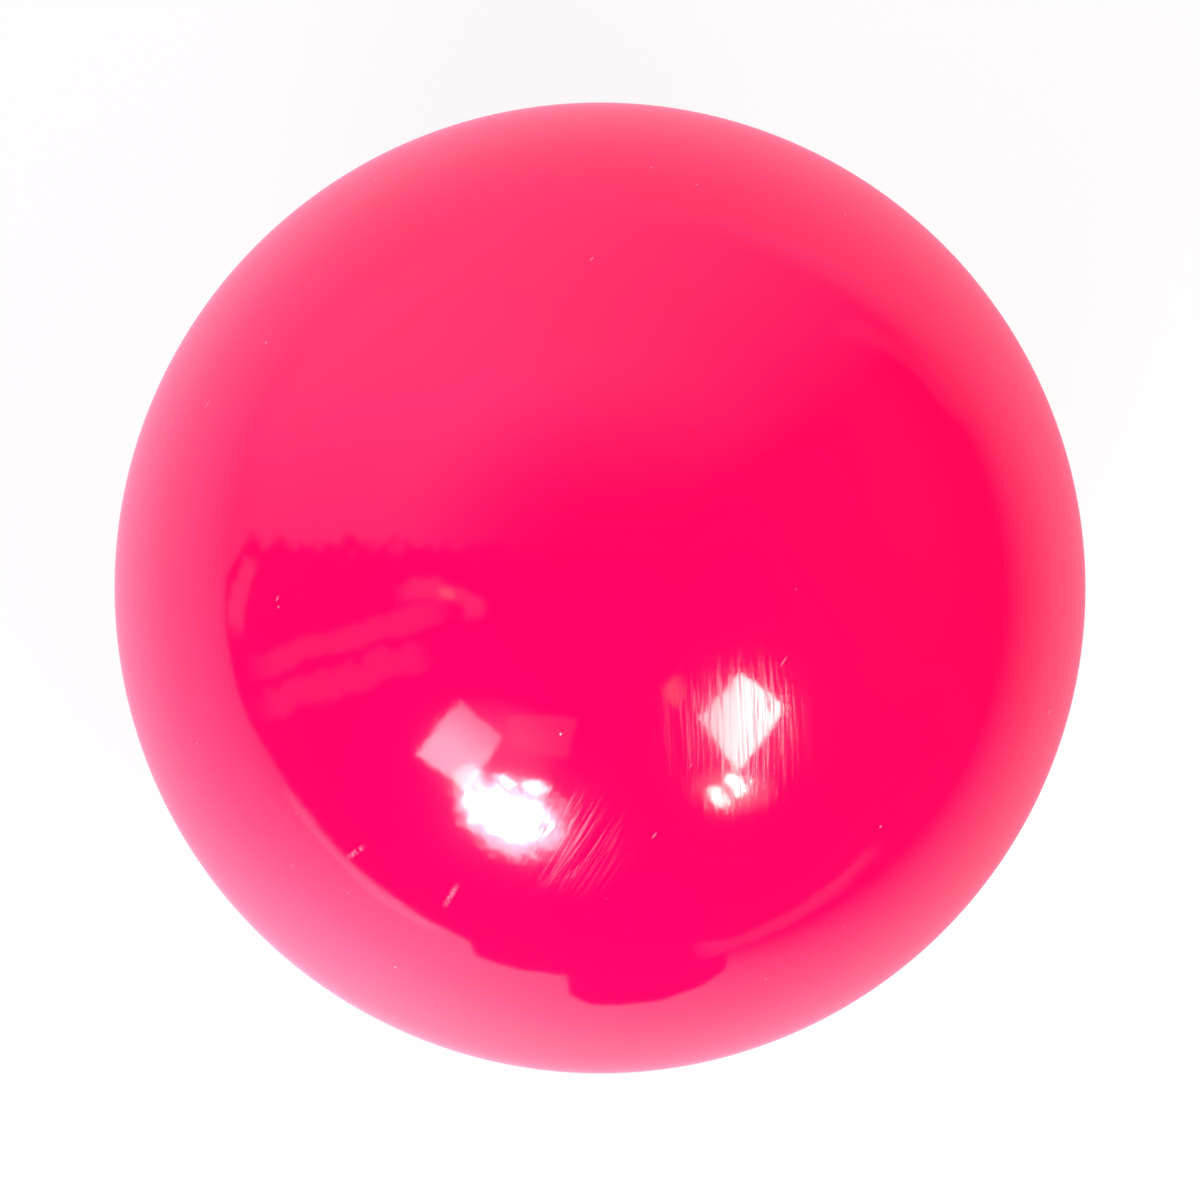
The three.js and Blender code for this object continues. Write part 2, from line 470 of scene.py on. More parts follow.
def ramp(tree, value, low, high, to_low=0.0, to_high=1.0):
    """Smooth step of a value from low to high."""
    given = {"Value": value, "From Min": low, "From Max": high, "To Min": to_low, "To Max": to_high}
    return add_node(tree, "ShaderNodeMapRange", given, interpolation_type="SMOOTHSTEP").outputs[0]


def mottle(tree, place, scale, detail):
    """Random soft pattern of values about 0.5."""
    given = {"Vector": place, "Scale": scale, "Detail": detail}
    return add_node(tree, "ShaderNodeTexNoise", given).outputs["Fac"]


def from_half(tree, value):
    """How far a value is above 0.5."""
    return calculate(tree, "SUBTRACT", value, 0.5)


def relief(tree, height, distance, strength=1.0, below=None):
    """Normal of a surface that a height raises by a distance, on top of the relief below it."""
    given = {"Strength": strength, "Distance": distance, "Height": height}
    if below is not None:
        given["Normal"] = below
    return add_node(tree, "ShaderNodeBump", given).outputs[0]


def blend_colours(tree, share, first, second):
    """Colour mixed from first to second by share."""
    made = add_node(tree, "ShaderNodeMix", {0: share, 6: first, 7: second}, data_type="RGBA")
    return made.outputs[2]


def blend_values(tree, share, first, second):
    """Value mixed from first to second by share."""
    return add_node(tree, "ShaderNodeMix", {0: share, 2: first, 3: second}).outputs[0]


def new_group(name, inputs, outputs):
    """Shader node group with its named sockets. Returns the tree, its inputs and its outputs."""
    tree = bpy.data.node_groups.new(name, "ShaderNodeTree")
    for socket, kind, value in inputs:
        tree.interface.new_socket(socket, in_out="INPUT", socket_type=kind).default_value = value
    for socket, kind in outputs:
        tree.interface.new_socket(socket, in_out="OUTPUT", socket_type=kind)
    given = tree.nodes.new("NodeGroupInput").outputs
    return tree, given, tree.nodes.new("NodeGroupOutput").inputs


def use_group(tree, group, inputs):
    """Outputs of a node group that is placed in a material."""
    return add_node(tree, "ShaderNodeGroup", inputs, node_tree=group).outputs


def new_material(name):
    """Material with its tree, its Principled shader and the place on the piece in millimetres."""
    material = bpy.data.materials.new(name)
    material.use_nodes = True
    tree = material.node_tree
    shader = tree.nodes["Principled BSDF"]
    coordinates = tree.nodes.new("ShaderNodeTexCoord").outputs["Object"]
    place = vector(tree, "SCALE", coordinates, Scale=1 / MM)
    return material, tree, shader, place


# Shared effects


def buffing_marks():
    """Fine broken grooves of a buffing wheel round a spot, in rings about the axis the ball was spun on."""
    tree, given, out = new_group(
        "buffing_marks",
        [
            ("Place", "NodeSocketVector", (0, 0, 0)),
            ("Axis", "NodeSocketVector", (0, 0, 1)),
            ("Centre", "NodeSocketVector", (0, 0, 0)),
            ("Reach", "NodeSocketFloat", 8.0),
            ("Spacing", "NodeSocketFloat", 0.3),
            ("Length", "NodeSocketFloat", 12.0),
        ],
        [("Grooves", "NodeSocketFloat")],
    )
    outward = vector(tree, "NORMALIZE", given["Place"])
    from_axis = calculate(tree, "ARCCOSINE", facing(tree, outward, given["Axis"]))
    along_arc = calculate(tree, "MULTIPLY", from_axis, BALL_RADIUS / MM)
    ring = calculate(tree, "DIVIDE", along_arc, given["Spacing"])
    drawn_out = vector(tree, "DIVIDE", given["Place"], given["Length"])
    stretched = vector(tree, "ADD", vector(tree, "SCALE", given["Axis"], Scale=ring), drawn_out)
    from_line = calculate(tree, "ABSOLUTE", from_half(tree, mottle(tree, stretched, 1.0, 1.0)))
    unbroken = mottle(tree, stretched, 0.6, 2.0)
    from_centre = vector(tree, "DISTANCE", given["Place"], given["Centre"], output="Value")
    full_reach = calculate(tree, "MULTIPLY", given["Reach"], 0.3)
    grooves = ramp(tree, from_line, 0.0, 0.05, 1.0, 0.0)
    for share in (
        ramp(tree, unbroken, 0.25, 0.5),
        ramp(tree, from_centre, full_reach, given["Reach"], 1.0, 0.0),
        ramp(tree, from_axis, 0.25, 0.5),
    ):
        grooves = calculate(tree, "MULTIPLY", grooves, share)
    tree.links.new(grooves, out["Grooves"])
    return tree


def scattered_specks():
    """Sparse small spots where the points of a cell pattern come close to the surface."""
    tree, given, out = new_group(
        "scattered_specks",
        [
            ("Place", "NodeSocketVector", (0, 0, 0)),
            ("Cell", "NodeSocketFloat", 4.5),
            ("Radius", "NodeSocketFloat", 0.12),
        ],
        [("Mask", "NodeSocketFloat")],
    )
    scaled = vector(tree, "SCALE", given["Place"], Scale=calculate(tree, "DIVIDE", 1.0, given["Cell"]))
    cells = add_node(tree, "ShaderNodeTexVoronoi", {"Vector": scaled, "Scale": 1.0})
    distance = calculate(tree, "MULTIPLY", cells.outputs["Distance"], given["Cell"])
    mask = ramp(tree, distance, given["Radius"], calculate(tree, "MULTIPLY", given["Radius"], 0.4))
    tree.links.new(mask, out["Mask"])
    return tree


def cork_granules():
    """Pressed cork: granules of mixed browns with darker joints between them."""
    tree, given, out = new_group(
        "cork_granules",
        [("Place", "NodeSocketVector", (0, 0, 0)), ("Grain", "NodeSocketFloat", 1.6)],
        [("Colour", "NodeSocketColor"), ("Height", "NodeSocketFloat")],
    )
    scaled = vector(tree, "SCALE", given["Place"], Scale=calculate(tree, "DIVIDE", 1.0, given["Grain"]))
    wander = add_node(tree, "ShaderNodeTexNoise", {"Vector": scaled, "Scale": 1.3, "Detail": 2.0})
    moved = vector(tree, "ADD", scaled, vector(tree, "SCALE", wander.outputs["Color"], Scale=0.5))
    pattern = {"Vector": moved, "Scale": 1.0}
    cells = add_node(tree, "ShaderNodeTexVoronoi", pattern)
    joints = add_node(tree, "ShaderNodeTexVoronoi", pattern, feature="DISTANCE_TO_EDGE")
    shade = add_node(tree, "ShaderNodeSeparateColor", {0: cells.outputs["Color"]}).outputs[0]
    grain = blend_colours(tree, shade, CORK_BROWN, CORK_TAN)
    body = ramp(tree, joints.outputs["Distance"], 0.0, 0.09)
    tree.links.new(blend_colours(tree, body, CORK_JOINT_BROWN, grain), out["Colour"])
    tree.links.new(body, out["Height"])
    return tree


# Materials


def scratch(tree, place, start, end):
    """1 on a broken straight scratch between two points, falling to 0 at its sides and ends."""
    half_length = (end - start).length / 2
    along = (end - start).normalized()
    offset = vector(tree, "SUBTRACT", place, (start + end) / 2)
    lengthwise = vector(tree, "DOT_PRODUCT", offset, along, output="Value")
    aside = vector(tree, "SUBTRACT", offset, vector(tree, "SCALE", along, Scale=lengthwise))
    from_line = vector(tree, "LENGTH", aside, output="Value")
    mask = ramp(tree, from_line, SCRATCH_HALF_WIDTH, 0.3 * SCRATCH_HALF_WIDTH)
    for share in (
        ramp(tree, calculate(tree, "ABSOLUTE", lengthwise), half_length, 0.3 * half_length),
        ramp(tree, mottle(tree, place, 3.0, 2.0), 0.3, 0.6, 0.0, 0.9),
    ):
        mask = calculate(tree, "MULTIPLY", mask, share)
    return mask


def lacquered_plastic(name, marks, specks, buffed_spots, scratches, pink, deep_pink, roughness):
    """Glossy pink PVC: buffed in spots, thinly lacquered, with dust specks that carry painted glints, short
    scuffs and scratches.
    """
    material, tree, shader, place = new_material(name)
    grooves = 0.0
    rough = roughness
    for centre, axis, reach, depth, dullness in buffed_spots:
        given = {"Place": place, "Axis": axis, "Centre": centre, "Reach": reach}
        marked = use_group(tree, marks, given)["Grooves"]
        grooves = calculate(tree, "MULTIPLY_ADD", marked, depth, grooves)
        rough = calculate(tree, "MULTIPLY_ADD", marked, dullness, rough)

    dust_and_glints = use_group(tree, specks, {"Place": place, "Cell": DUST_CELL, "Radius": DUST_RADIUS})["Mask"]
    slope = add_node(tree, "ShaderNodeVectorRotate", {"Vector": place, "Angle": SCUFF_TURN})
    squeezed = vector(tree, "MULTIPLY", slope.outputs[0], SCUFF_SQUEEZE)
    scuffs = use_group(tree, specks, {"Place": squeezed, "Cell": SCUFF_CELL, "Radius": SCUFF_RADIUS})["Mask"]
    for start, end in scratches:
        scuffs = calculate(tree, "MAXIMUM", scuffs, scratch(tree, place, start, end))

    cloud = ramp(tree, mottle(tree, place, 0.06, 2.0), 0.35, 0.65)
    colour = blend_colours(tree, cloud, pink, deep_pink)
    colour = blend_colours(tree, calculate(tree, "MULTIPLY", scuffs, 0.3), colour, SCUFF_PINK)
    # Dust specks painted pale: partly dust, partly painted glints where their nibs catch the light
    colour = blend_colours(tree, calculate(tree, "MULTIPLY", dust_and_glints, 0.75), colour, DUST_AND_GLINT_PINK)
    tree.links.new(colour, shader.inputs["Base Color"])

    rough = calculate(tree, "MULTIPLY_ADD", scuffs, 0.3, rough)
    tree.links.new(rough, shader.inputs["Roughness"])

    skin = relief(tree, mottle(tree, place, 0.5, 2.0), PEEL_DEPTH)
    buffed = relief(tree, grooves, -GROOVE_DEPTH, below=skin)
    nibs = relief(tree, dust_and_glints, NIB_HEIGHT, below=buffed)
    tree.links.new(nibs, shader.inputs["Normal"])

    shader.inputs["IOR"].default_value = 1.54
    shader.inputs["Coat Weight"].default_value = 0.01
    shader.inputs["Coat Roughness"].default_value = 0.24
    shader.inputs["Coat IOR"].default_value = 1.5
    return material


def cork_material(name, granules, grain):
    """Matte pressed cork."""
    material, tree, shader, place = new_material(name)
    cork = use_group(tree, granules, {"Place": place, "Grain": grain})
    tree.links.new(cork["Colour"], shader.inputs["Base Color"])
    pits = relief(tree, cork["Height"], CORK_PIT_DEPTH, strength=0.6)
    tree.links.new(pits, shader.inputs["Normal"])
    shader.inputs["Roughness"].default_value = 0.9
    return material


def twine_material():
    """Dry twisted twine: its plies show as slanted bands along the strand, with painted shade in the grooves
    between them and loose fibre over them.
    """
    material, tree, shader, place = new_material("twine")
    layout = axes_of(tree, add_node(tree, "ShaderNodeUVMap", uv_map="strand").outputs[0])
    turns = calculate(tree, "DIVIDE", layout["X"], TWINE_TWIST)
    plies = calculate(tree, "MULTIPLY_ADD", layout["Y"], TWINE_PLIES, turns)
    wave = calculate(tree, "SINE", calculate(tree, "MULTIPLY", plies, math.pi))
    band = calculate(tree, "ABSOLUTE", wave)
    fibre = ramp(tree, mottle(tree, place, 5.0, 3.0), 0.2, 0.7)
    # Painted shade: darker in the grooves between the plies
    shade = calculate(tree, "MULTIPLY", ramp(tree, band, 0.0, 0.6), fibre)
    tree.links.new(blend_colours(tree, shade, TWINE_PAINTED_SHADE, TWINE_STRAW), shader.inputs["Base Color"])
    tree.links.new(relief(tree, band, TWINE_LAY_DEPTH, strength=0.8), shader.inputs["Normal"])
    shader.inputs["Roughness"].default_value = 0.92
    return material


# Camera


def add_camera():
    """Camera straight above the ball, framed as in the photograph. Returns its place and half tangent."""
    ball_tangent = BALL_RADIUS / math.sqrt(CAMERA_HEIGHT**2 - BALL_RADIUS**2)
    half_tangent = ball_tangent * PHOTO_WIDTH / BALL_WIDTH_PX
    metres_per_pixel = 2 * CAMERA_HEIGHT * half_tangent / PHOTO_WIDTH
    camera = bpy.data.cameras.new("camera")
    camera.sensor_width = SENSOR_WIDTH
    camera.lens = SENSOR_WIDTH / 2 / half_tangent
    holder = bpy.data.objects.new("camera", camera)
    bpy.context.scene.collection.objects.link(holder)
    aside = (PHOTO_WIDTH / 2 - BALL_CENTRE_PX[0]) * metres_per_pixel
    below = (BALL_CENTRE_PX[1] - PHOTO_WIDTH / 2) * metres_per_pixel
    holder.location = (aside, below, CAMERA_HEIGHT)
    bpy.context.scene.camera = holder
    return Vector(holder.location), half_tangent


def photo_ray(half_tangent, pixel):
    """Direction from the camera through a pixel of the photograph. The camera looks straight down, +Y up."""
    half = PHOTO_WIDTH / 2
    right = (pixel[0] - half) / half * half_tangent
    up = (half - pixel[1]) / half * half_tangent
    return Vector((right, up, -1)).normalized()


def mirrored_at(view, pixel):
    """Point of the ball at a pixel, and the direction that it mirrors there."""
    camera_place, half_tangent = view
    ray = photo_ray(half_tangent, pixel)
    nearest = -camera_place.dot(ray)
    half_chord = math.sqrt(BALL_RADIUS**2 - (camera_place.length_squared - nearest**2))
    point = camera_place + ray * (nearest - half_chord)
    return point, ray.reflect(point.normalized())


def buffed_spot(view, pixel, slope, reach, depth, dullness):
    """Spot at a pixel: its centre, the axis whose rings cross it at a slope, its reach and its strengths."""
    outward = mirrored_at(view, pixel)[0].normalized()
    angle = math.radians(slope)
    line = Vector((math.cos(angle), math.sin(angle), 0))
    line.z = -line.dot(outward) / outward.z
    axis = outward.cross(line).normalized()
    return outward * BALL_RADIUS / MM, axis, reach, depth, dullness


# Studio


def compass(degrees):
    """Level direction, in degrees from +Y towards +X."""
    angle = math.radians(degrees)
    return (math.sin(angle), math.cos(angle), 0)


def background_share(tree):
    """1 on rays from the camera, mirrors and glass, and 0 on rays that only carry light."""
    path = tree.nodes.new("ShaderNodeLightPath").outputs
    seen = calculate(tree, "MAXIMUM", path["Is Camera Ray"], path["Is Glossy Ray"])
    return calculate(tree, "MAXIMUM", seen, path["Is Transmission Ray"])


def set_world():
    """White all round for the camera. The light is strongest from behind, and cooler from the left."""
    world = bpy.data.worlds.new("studio")
    bpy.context.scene.world = world
    world.use_nodes = True
    tree = world.node_tree
    tree.nodes.clear()
    direction = tree.nodes.new("ShaderNodeTexCoord").outputs["Generated"]
    from_behind = ramp(tree, facing(tree, direction, compass(BACKLIGHT_BEARING)), -0.6, 0.6, 0.56, 1.9)
    from_above = ramp(tree, axes_of(tree, direction)["Z"], 0.0, 1.0, 1.0, 0.45)
    fill = calculate(tree, "MULTIPLY", from_behind, from_above)
    right = ramp(tree, facing(tree, direction, compass(RIGHT_BEARING)), -0.7, 0.7)
    tint = blend_colours(tree, right, COOL_LIGHT, WARM_LIGHT)
    share = background_share(tree)
    colour = blend_colours(tree, share, tint, PURE_WHITE)
    strength = blend_values(tree, share, fill, 1.0)
    light = add_node(tree, "ShaderNodeBackground", {"Color": colour, "Strength": strength})
    out = tree.nodes.new("ShaderNodeOutputWorld")
    tree.links.new(light.outputs[0], out.inputs["Surface"])


def bare_material(name):
    """Material with only its output node. Returns the material, its tree and its surface socket."""
    material = bpy.data.materials.new(name)
    material.use_nodes = True
    tree = material.node_tree
    tree.nodes.clear()
    return material, tree, tree.nodes.new("ShaderNodeOutputMaterial").inputs["Surface"]


def floor_material():
    """White paper that keeps the ball's shadow but stays pale in the picture, and pure white far away."""
    material, tree, surface = bare_material("white_paper")
    place = tree.nodes.new("ShaderNodeTexCoord").outputs["Object"]
    distance = vector(tree, "LENGTH", place, output="Value")
    far = ramp(tree, distance, 0.08, 0.6, 0.84, 1.0)
    beside = ramp(tree, distance, 0.037, 0.054, 0.5, 1.0)
    white = calculate(tree, "MULTIPLY", far, beside)
    share = calculate(tree, "MULTIPLY", background_share(tree), white)
    paper = add_node(tree, "ShaderNodeBsdfDiffuse", {"Color": PAPER_COLOUR})
    glow = add_node(tree, "ShaderNodeEmission", {"Color": PURE_WHITE, "Strength": 1.0})
    mixed = add_node(tree, "ShaderNodeMixShader", {0: share, 1: paper.outputs[0], 2: glow.outputs[0]})
    tree.links.new(mixed.outputs[0], surface)
    return material


def add_square(name, reach, level):
    """Level square that reaches equally far to all sides of the ball."""
    corners = [(x * reach, y * reach, level) for x, y in ((-1, -1), (1, -1), (1, 1), (-1, 1))]
    return add_mesh(name, corners, [[0, 1, 2, 3]])


def add_floor():
    """Floor under the ball, far wider than the picture."""
    floor = add_square("floor", FLOOR_REACH, -BALL_RADIUS)
    floor.data.materials.append(floor_material())


def only_mirrored(card, material):
    """Keeps a card for the ball's reflections: it is out of the picture and takes no light away."""
    card.data.materials.append(material)
    card.visible_camera = False
    card.visible_diffuse = False
    card.visible_transmission = False
    card.visible_volume_scatter = False
    card.visible_shadow = False


def glowing_material(name):
    """Card that only glows. Returns the material, its tree, its emission node, surface socket and place."""
    material, tree, surface = bare_material(name)
    glow = add_node(tree, "ShaderNodeEmission", {"Color": PURE_WHITE})
    tree.links.new(glow.outputs[0], surface)
    place = tree.nodes.new("ShaderNodeTexCoord").outputs["Object"]
    return material, tree, glow, surface, place


def paper_tint(tree, direction):
    """Tint of the white paper in a direction: cooler on the left."""
    right = ramp(tree, axes_of(tree, direction)["X"], -1.0, 0.0)
    return blend_colours(tree, right, LEFT_PAPER_LIGHT, WHITE_LIGHT)


def backdrop_tone(tree, direction):
    """Brightness of the white backdrop in a direction: lit from the left, with a ragged left edge."""
    level = vector(tree, "NORMALIZE", vector(tree, "MULTIPLY", direction, (1, 1, 0)))
    lit = calculate(tree, "MAXIMUM", facing(tree, level, compass(BACKDROP_LIT_BEARING)), 0.0)
    right, behind, _ = compass(BACKDROP_LEFT_EDGE)
    from_edge = facing(tree, direction, (right, behind, -0.09))
    ragged = from_half(tree, mottle(tree, direction, 16.0, 3.0))
    from_edge = calculate(tree, "MULTIPLY_ADD", ragged, 0.2, from_edge)
    inside = ramp(tree, from_edge, -0.035, 0.02)
    brighter = ramp(tree, from_edge, 0.0, 0.6, 0.6, 0.77)
    return calculate(tree, "MULTIPLY", lit, calculate(tree, "MULTIPLY", inside, brighter))


def mirrored_wall():
    """Backdrop behind the ball, fading upwards into the dark."""
    material, tree, glow, _, place = glowing_material("mirrored_wall")
    direction = vector(tree, "NORMALIZE", place)
    fade = ramp(tree, axes_of(tree, direction)["Z"], 0.58, 1.0, 1.0, 0.0)
    tone = calculate(tree, "MULTIPLY", backdrop_tone(tree, direction), fade)
    tree.links.new(tone, glow.inputs["Strength"])
    tree.links.new(paper_tint(tree, direction), glow.inputs["Color"])
    return material


def glare(tree, outward, bearing, sharpness):
    """1 in the direction of a bearing, falling off to its sides."""
    towards = calculate(tree, "MAXIMUM", facing(tree, outward, compass(bearing)), 0.0)
    return calculate(tree, "POWER", towards, sharpness)


def mirrored_paper():
    """Paper round the ball as a glow, with painted light and shade: painted pink bounce and painted shade
    beside it, brightest to the front left, fading to the right.
    """
    material, tree, glow, _, place = glowing_material("mirrored_paper")
    direction = vector(tree, "NORMALIZE", place)
    level = vector(tree, "MULTIPLY", place, (1, 1, 0))
    reach = vector(tree, "LENGTH", level, output="Value")
    outward = vector(tree, "NORMALIZE", level)
    beside = calculate(tree, "MULTIPLY_ADD", axes_of(tree, outward)["X"], -0.16, 0.6)
    # Painted shade: the left glare is dimmer close to the ball
    further = ramp(tree, reach, 0.05, 0.12, 0.5, 1.2)
    left_glare = calculate(tree, "MULTIPLY", glare(tree, outward, LEFT_GLARE_BEARING, 8.0), further)
    front_glare = glare(tree, outward, FRONT_GLARE_BEARING, 12.0)
    beside = calculate(tree, "MULTIPLY_ADD", left_glare, 0.65, beside)
    beside = calculate(tree, "MULTIPLY_ADD", front_glare, 0.2, beside)

    axes = axes_of(tree, place)
    left_fall = ramp(tree, axes["X"], -0.55, -0.05, 0.5, 1.0)
    to_right = calculate(tree, "MULTIPLY_ADD", axes["Y"], -0.25, axes["X"])
    right_end = ramp(tree, to_right, 0.065, 0.205, 1.0, 0.0)
    behind = ramp(tree, facing(tree, outward, compass(BACKDROP_LEFT_EDGE)), 0.0, 0.3)
    far_behind = calculate(tree, "MULTIPLY", behind, ramp(tree, reach, 0.15, 0.7))
    near = calculate(tree, "SUBTRACT", 1.0, far_behind)
    tone = blend_values(
        tree,
        calculate(tree, "MULTIPLY", near, right_end),
        backdrop_tone(tree, direction),
        calculate(tree, "MULTIPLY", beside, left_fall),
    )
    tree.links.new(tone, glow.inputs["Strength"])
    # Painted pink bounce light on the paper beside the ball
    away = ramp(tree, reach, 0.035, 0.085)
    tree.links.new(blend_colours(tree, away, PAINTED_PINK_BOUNCE, paper_tint(tree, direction)), glow.inputs["Color"])
    return material


def mirrored_ground():
    """Dark ground under and round the paper."""
    material, _, glow, _, _ = glowing_material("mirrored_ground")
    glow.inputs["Strength"].default_value = 0.0
    return material


def add_surroundings(view):
    """What the ball mirrors: white paper under and behind it, and the dark round that."""
    level = -BALL_RADIUS + MIRRORED_PAPER_LIFT
    dome = revolved("mirrored_dome", arc(ROOM_REACH, -0.05, math.pi / 2, DOME_ARC_STEPS), DOME_SEGMENTS)
    only_mirrored(dome, mirrored_wall())
    only_mirrored(add_square("mirrored_ground", ROOM_REACH, level - MIRRORED_GROUND_DROP), mirrored_ground())
    outline = []
    for pixel in PAPER_EDGE_PX:
        point, direction = mirrored_at(view, pixel)
        outline.append(point + direction * ((level - point.z) / direction.z))
    left_behind = ROOM_REACH * math.tan(math.radians(BACKDROP_LEFT_EDGE))
    for x, y in ((1, -1), (1, 1), (-1, 1)):
        outline.append(Vector((x * ROOM_REACH, y * ROOM_REACH, level)))
    outline.append(Vector((-ROOM_REACH, left_behind, level)))
    count = len(outline)
    fan = [[0, 1 + k, 1 + (k + 1) % count] for k in range(count)]
    only_mirrored(add_mesh("mirrored_paper", [(0, 0, level), *outline], fan), mirrored_paper())


# Lamps. Each shape of glow takes the place on a card as shares of its sides from its middle, and in metres.


def from_middle(tree, across, along):
    """Distance from the middle of a card, 0.5 on the oval that touches its sides."""
    squares = calculate(tree, "MULTIPLY_ADD", across, across, calculate(tree, "MULTIPLY", along, along))
    return calculate(tree, "SQRT", squares)


def oval_glow(tree, across, along, place):
    """1 in the middle of a card, falling to 0 on the oval that touches its sides."""
    return ramp(tree, from_middle(tree, across, along), 0.5, 0.2)


def ragged_glow(tree, across, along, place):
    """1 in the middle of a card, breaking up towards the oval that touches its sides."""
    ragged = mottle(tree, place, 24.0, 4.0)
    distance = calculate(tree, "MULTIPLY_ADD", ragged, 0.5, from_middle(tree, across, along))
    return ramp(tree, distance, 0.66, 0.56)


def strip_glow(tree, across, along, place):
    """1 along the middle of a strip, falling to 0 at its uneven sides and at its ends."""
    uneven = from_half(tree, mottle(tree, place, 10.0, 4.0))
    across = calculate(tree, "MULTIPLY_ADD", uneven, 1.1, across)
    sides = ramp(tree, calculate(tree, "ABSOLUTE", across), 0.48, 0.32)
    ends = ramp(tree, calculate(tree, "ABSOLUTE", along), 0.5, 0.35)
    return calculate(tree, "MULTIPLY", sides, ends)


def slanted_glow(tree, across, along, place):
    """1 over most of a card, dimmer towards its first corner."""
    return ramp(tree, calculate(tree, "ADD", across, along), -1.0, 0.4, 0.5, 1.0)


def sloping_glow(tree, across, along, place):
    """1 over the far half of a card, dimmer towards its first side."""
    return ramp(tree, along, -0.55, 0.2, 0.4, 1.0)


def broken_glow(tree, across, along, place):
    """1 over most of a card, with small dark breaks."""
    return ramp(tree, mottle(tree, place, 34.0, 3.0), 0.42, 0.5)


def card_material(name, radiance, colour, glow_shape):
    """Glow that adds to what is behind the card: even, or shaped over the card by a function."""
    material, tree, glow, surface, place = glowing_material(name)
    glow.inputs["Color"].default_value = colour
    glow.inputs["Strength"].default_value = radiance
    if glow_shape:
        layout = tree.nodes.new("ShaderNodeTexCoord").outputs["UV"]
        axes = axes_of(tree, vector(tree, "SUBTRACT", layout, (0.5, 0.5, 0)))
        shaped = glow_shape(tree, axes["X"], axes["Y"], place)
        tree.links.new(calculate(tree, "MULTIPLY", shaped, radiance), glow.inputs["Strength"])
    clear = tree.nodes.new("ShaderNodeBsdfTransparent")
    both = add_node(tree, "ShaderNodeAddShader", {0: glow.outputs[0], 1: clear.outputs[0]})
    tree.links.new(both.outputs[0], surface)
    return material


def card_corner(view, pixel):
    """Corner of a card that the ball mirrors at a pixel: at the lamps' distance, or just above the paper."""
    point, direction = mirrored_at(view, pixel)
    distance = LAMP_DISTANCE
    if direction.z < 0:
        distance = min(distance, (CARD_LIFT - BALL_RADIUS - point.z) / direction.z)
    return point + direction * distance


def add_card(name, view, corners_px, radiance, colour, glow_shape=None):
    """Glowing card that the ball mirrors inside an outline of pixels."""
    corners = [card_corner(view, pixel) for pixel in corners_px]
    card = add_mesh(name, corners, [list(range(len(corners)))])
    if len(corners) == 4:
        layout = card.data.uv_layers.new(name="card")
        layout.data.foreach_set("uv", [0, 0, 1, 0, 1, 1, 0, 1])
    only_mirrored(card, card_material(name, radiance, colour, glow_shape))
    return card


def add_band(name, view, middle_px, half_width, radiance, colour):
    """Faint strip with soft edges that the ball mirrors along a line of pixels."""
    line = [Vector(pixel) for pixel in middle_px]
    corners = []
    for before, here, after in zip(line[:1] + line, line, line[1:] + line[-1:]):
        aside = (after - before).orthogonal().normalized() * half_width
        corners += [card_corner(view, here - aside), card_corner(view, here + aside)]
    pieces = len(line) - 1
    faces = []
    coordinates = []
    for k in range(pieces):
        faces.append([2 * k, 2 * k + 1, 2 * k + 3, 2 * k + 2])
        start, end = k / pieces, (k + 1) / pieces
        coordinates += [0, start, 1, start, 1, end, 0, end]
    band = add_mesh(name, corners, faces)
    band.data.uv_layers.new(name="band").data.foreach_set("uv", coordinates)
    only_mirrored(band, card_material(name, radiance, colour, strip_glow))


def add_lamp(name, view, corners_px, radiance, colour, glow_shape=None, lit_share=1.0):
    """Lamp that the ball mirrors inside an outline of pixels: a card that it mirrors, and a light there."""
    card = add_card(name, view, corners_px, radiance, colour, glow_shape)
    face = card.data.polygons[0]
    light = bpy.data.lights.new(name + "_light", "AREA")
    light.shape = "SQUARE"
    light.size = math.sqrt(face.area)
    light.energy = AREA_LIGHT_WATTS * face.area * radiance * lit_share * LAMP_SHARE
    light.color = colour[:3]
    holder = bpy.data.objects.new(name + "_light", light)
    holder.visible_glossy = False
    holder.location = face.center
    holder.rotation_mode = "QUATERNION"
    holder.rotation_quaternion = (-holder.location).to_track_quat("-Z", "Y")
    bpy.context.scene.collection.objects.link(holder)


# Build


def finish_piece(piece, material, node):
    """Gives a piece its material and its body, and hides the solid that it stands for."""
    piece.data.materials.append(material)
    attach(piece, "root")
    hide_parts(node)


view = add_camera()
buffed_spots = (
    buffed_spot(view, RIGHT_BUFFED_PX, RIGHT_LINES_SLOPE, reach=8.5, depth=0.06, dullness=0.22),
    buffed_spot(view, LEFT_BUFFED_PX, LEFT_LINES_SLOPE, reach=5.8, depth=0.12, dullness=0.26),
    buffed_spot(view, BALL_CENTRE_PX, RIGHT_LINES_SLOPE, reach=200, depth=0.03, dullness=0.0),
)
scratches = [[mirrored_at(view, pixel)[0] / MM for pixel in ends] for ends in SCRATCHES_PX]
effects = (buffing_marks(), scattered_specks(), buffed_spots, scratches)
granules = cork_granules()
cover_plastic = lacquered_plastic("cover_plastic", *effects, COVER_PINK, COVER_DEEP_PINK, COVER_ROUGHNESS)
weld_plastic = lacquered_plastic("weld_plastic", *effects, WELD_PINK, WELD_DEEP_PINK, WELD_ROUGHNESS)
cup_cork = cork_material("cup_cork", granules, CUP_GRAIN)
core_cork = cork_material("core_cork", granules, CORE_GRAIN)
twine = twine_material()

